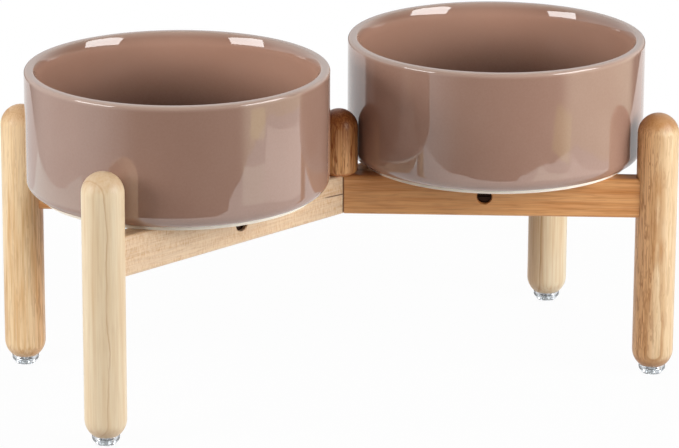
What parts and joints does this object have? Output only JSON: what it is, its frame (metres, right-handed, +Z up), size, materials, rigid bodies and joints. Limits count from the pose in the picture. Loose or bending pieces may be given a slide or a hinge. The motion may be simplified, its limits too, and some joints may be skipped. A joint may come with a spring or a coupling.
{
  "type": "elevated double pet bowl stand",
  "caption": "Raised pet feeder: straight-sided glazed bowls resting on a crossed wooden stand with round domed legs, a domed centre post and clear floor glides.",
  "frame": {"origin": "on the floor, under the middle of the crossed rails", "axes": "+X along the pair of bowls, from the left bowl to the right one; +Z up; the front is -Y"},
  "size_m": [0.4344, 0.2032, 0.224],
  "materials": {
    "glaze": "glossy taupe glaze, bare cream foot ring",
    "leg_wood": "satin clear varnish",
    "rail_wood": "satin clear varnish",
    "clear_plastic": "clear, glossy",
    "plated_steel": "zinc plated",
    "black_steel": "black oxide, satin"
  },
  "bodies": {
    "stand": {"rail_lower": "rail_wood", "rail_upper": "rail_wood", "centre_post": "leg_wood", "post_insert": "plated_steel", "centre_bolt": "plated_steel", "centre_washer": "plated_steel", "leg_front_left": "leg_wood", "leg_insert_front_left": "plated_steel", "stud_front_left": "plated_steel", "barrel_nut_front_left": "black_steel", "glide_front_left": "clear_plastic", "glide_screw_front_left": "plated_steel", "leg_front_right": "leg_wood", "leg_insert_front_right": "plated_steel", "stud_front_right": "plated_steel", "barrel_nut_front_right": "black_steel", "glide_front_right": "clear_plastic", "glide_screw_front_right": "plated_steel", "leg_back_left": "leg_wood", "leg_insert_back_left": "plated_steel", "stud_back_left": "plated_steel", "barrel_nut_back_left": "black_steel", "glide_back_left": "clear_plastic", "glide_screw_back_left": "plated_steel", "leg_back_right": "leg_wood", "leg_insert_back_right": "plated_steel", "stud_back_right": "plated_steel", "barrel_nut_back_right": "black_steel", "glide_back_right": "clear_plastic", "glide_screw_back_right": "plated_steel"},
    "bowl_left": {"bowl_left": "glaze"},
    "bowl_right": {"bowl_right": "glaze"}
  },
  "joints": [
    {"name": "bowl_left_lift", "type": "slide", "parent": "stand", "child": "bowl_left", "axis": [0, 0, 1], "range_m": [0, 0.12]},
    {"name": "bowl_right_lift", "type": "slide", "parent": "stand", "child": "bowl_right", "axis": [0, 0, 1], "range_m": [0, 0.12]}
  ]
}
